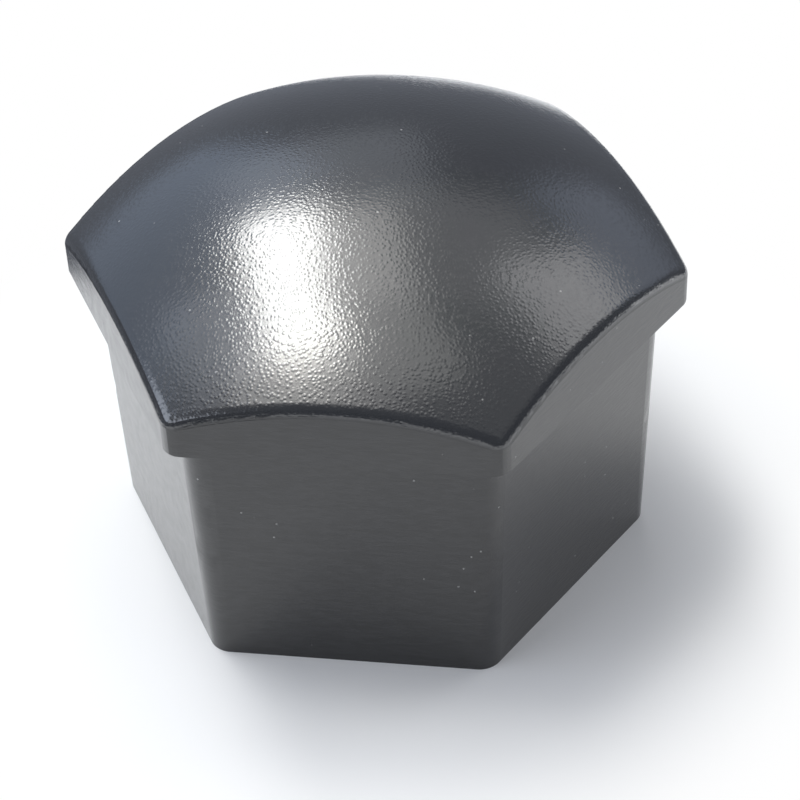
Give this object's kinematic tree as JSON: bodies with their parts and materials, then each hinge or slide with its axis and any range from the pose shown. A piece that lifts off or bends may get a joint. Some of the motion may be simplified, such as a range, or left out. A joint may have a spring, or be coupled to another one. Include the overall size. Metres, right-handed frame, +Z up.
{
  "type": "wheel nut cover cap",
  "caption": "Push-on hexagonal cover cap with a domed, overhanging head, for a standard wheel nut or wheel bolt head.",
  "frame": {"origin": "centre of the hexagonal rim, on the plane that the cap stands on", "axes": "+Z up along the cap's axis, from the open rim to the dome; +X through two opposite corners of the hexagon; +Y square to two opposite sides"},
  "size_m": [0.0252, 0.022, 0.0176],
  "materials": {
    "cap_plastic": "satin anthracite with a fine moulded grain"
  },
  "bodies": {
    "root": {"cover_cap": "cap_plastic"}
  },
  "joints": []
}
